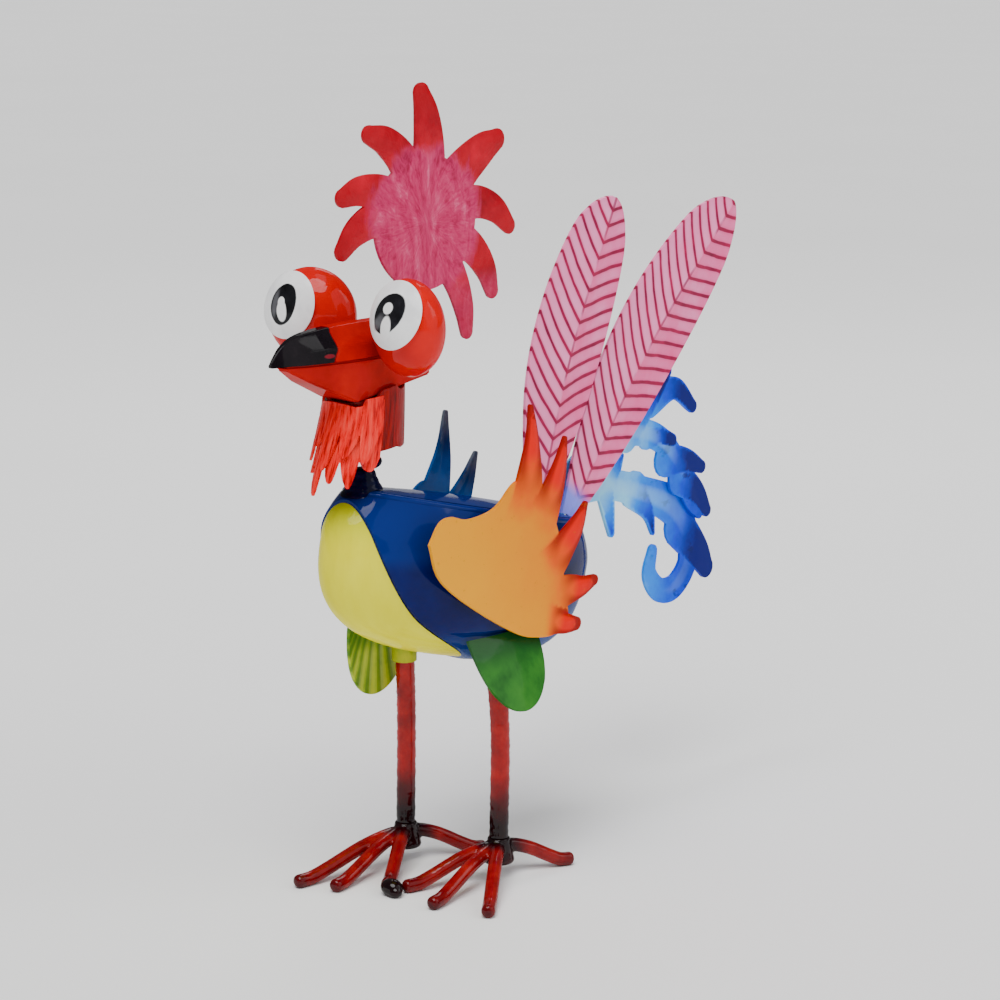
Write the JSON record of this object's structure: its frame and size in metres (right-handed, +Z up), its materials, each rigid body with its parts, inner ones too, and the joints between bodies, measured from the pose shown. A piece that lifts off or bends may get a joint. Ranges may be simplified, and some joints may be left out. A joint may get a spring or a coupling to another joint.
{
  "type": "painted sheet-metal rooster statuette",
  "caption": "Comic standing rooster of painted sheet steel: boat-shaped body, bulging eyes, jagged comb, cut beard, flame-cut wings, folded feathers, curled tail plumes and splayed bar toes.",
  "frame": {"origin": "middle of the bounding box on the floor the toes stand on", "axes": "+Z up, beak towards -Y, the rooster's own left side towards +X"},
  "size_m": [0.1008, 0.2886, 0.3278],
  "materials": {
    "body_shell": "glossy hand-brushed enamel",
    "breast_plate": "glossy hand-brushed enamel",
    "left_wing": "glossy hand-brushed enamel",
    "right_wing": "glossy hand-brushed enamel",
    "neck_collar": "glossy hand-brushed enamel",
    "neck_spring": "glossy hand-brushed enamel",
    "neck_sleeve": "glossy hand-brushed enamel",
    "lower_beard": "glossy hand-brushed enamel",
    "upper_beard": "glossy hand-brushed enamel",
    "head": "glossy hand-brushed enamel",
    "lower_jaw": "glossy hand-brushed enamel",
    "left_eyeball": "glossy hand-brushed enamel",
    "right_eyeball": "glossy hand-brushed enamel",
    "left_eye_white": "glossy hand-brushed enamel",
    "right_eye_white": "glossy hand-brushed enamel",
    "comb": "glossy hand-brushed enamel",
    "front_tail_feather": "glossy hand-brushed enamel",
    "rear_tail_feather": "glossy hand-brushed enamel",
    "upper_tail_plume": "glossy hand-brushed enamel",
    "lower_tail_plume": "glossy hand-brushed enamel",
    "left_leg": "glossy hand-brushed enamel",
    "right_leg": "glossy hand-brushed enamel",
    "left_foot": "glossy hand-brushed enamel",
    "right_foot": "glossy hand-brushed enamel",
    "toe_weld": "glossy hand-brushed enamel",
    "left_leg_socket": "glossy hand-brushed enamel",
    "right_leg_socket": "glossy hand-brushed enamel",
    "left_thigh_leaf": "glossy hand-brushed enamel",
    "right_thigh_leaf": "glossy hand-brushed enamel"
  },
  "bodies": {
    "root": {"body_shell": "body_shell", "breast_plate": "breast_plate", "left_wing": "left_wing", "right_wing": "right_wing", "neck_collar": "neck_collar", "neck_spring": "neck_spring", "neck_sleeve": "neck_sleeve", "lower_beard": "lower_beard", "upper_beard": "upper_beard", "head": "head", "lower_jaw": "lower_jaw", "left_eyeball": "left_eyeball", "right_eyeball": "right_eyeball", "left_eye_white": "left_eye_white", "right_eye_white": "right_eye_white", "comb": "comb", "front_tail_feather": "front_tail_feather", "rear_tail_feather": "rear_tail_feather", "upper_tail_plume": "upper_tail_plume", "lower_tail_plume": "lower_tail_plume", "left_leg": "left_leg", "right_leg": "right_leg", "left_foot": "left_foot", "right_foot": "right_foot", "toe_weld": "toe_weld", "left_leg_socket": "left_leg_socket", "right_leg_socket": "right_leg_socket", "left_thigh_leaf": "left_thigh_leaf", "right_thigh_leaf": "right_thigh_leaf"}
  },
  "joints": []
}
